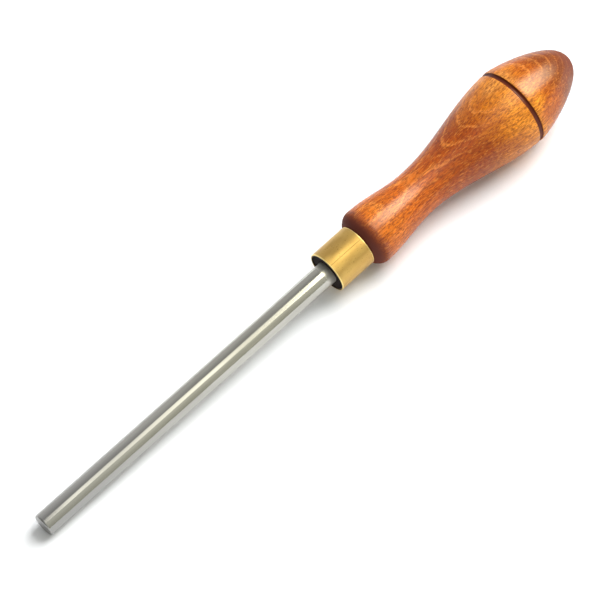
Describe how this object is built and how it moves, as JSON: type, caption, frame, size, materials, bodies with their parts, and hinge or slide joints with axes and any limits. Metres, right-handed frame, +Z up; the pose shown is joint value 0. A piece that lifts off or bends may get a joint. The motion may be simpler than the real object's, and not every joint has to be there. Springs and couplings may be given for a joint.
{
  "type": "burnisher",
  "caption": "Hand burnisher: a round polished steel rod held in a turned and lacquered wooden handle with a brass ferrule, for turning the burr on a scraper's edge.",
  "frame": {"origin": "middle of the tool's box, on the surface that it lies on", "axes": "+Z up; the tool lies along X, with the rod's tip towards -X and the butt towards +X; its own axis rises 2.88 degrees from tip to butt"},
  "size_m": [0.238, 0.0292, 0.0292],
  "materials": {
    "wood": "stained and gloss lacquered",
    "brass": "satin, lightly tarnished",
    "steel": "ground and polished lengthways"
  },
  "bodies": {
    "root": {"handle": "wood", "ferrule": "brass", "rod": "steel"}
  },
  "joints": []
}
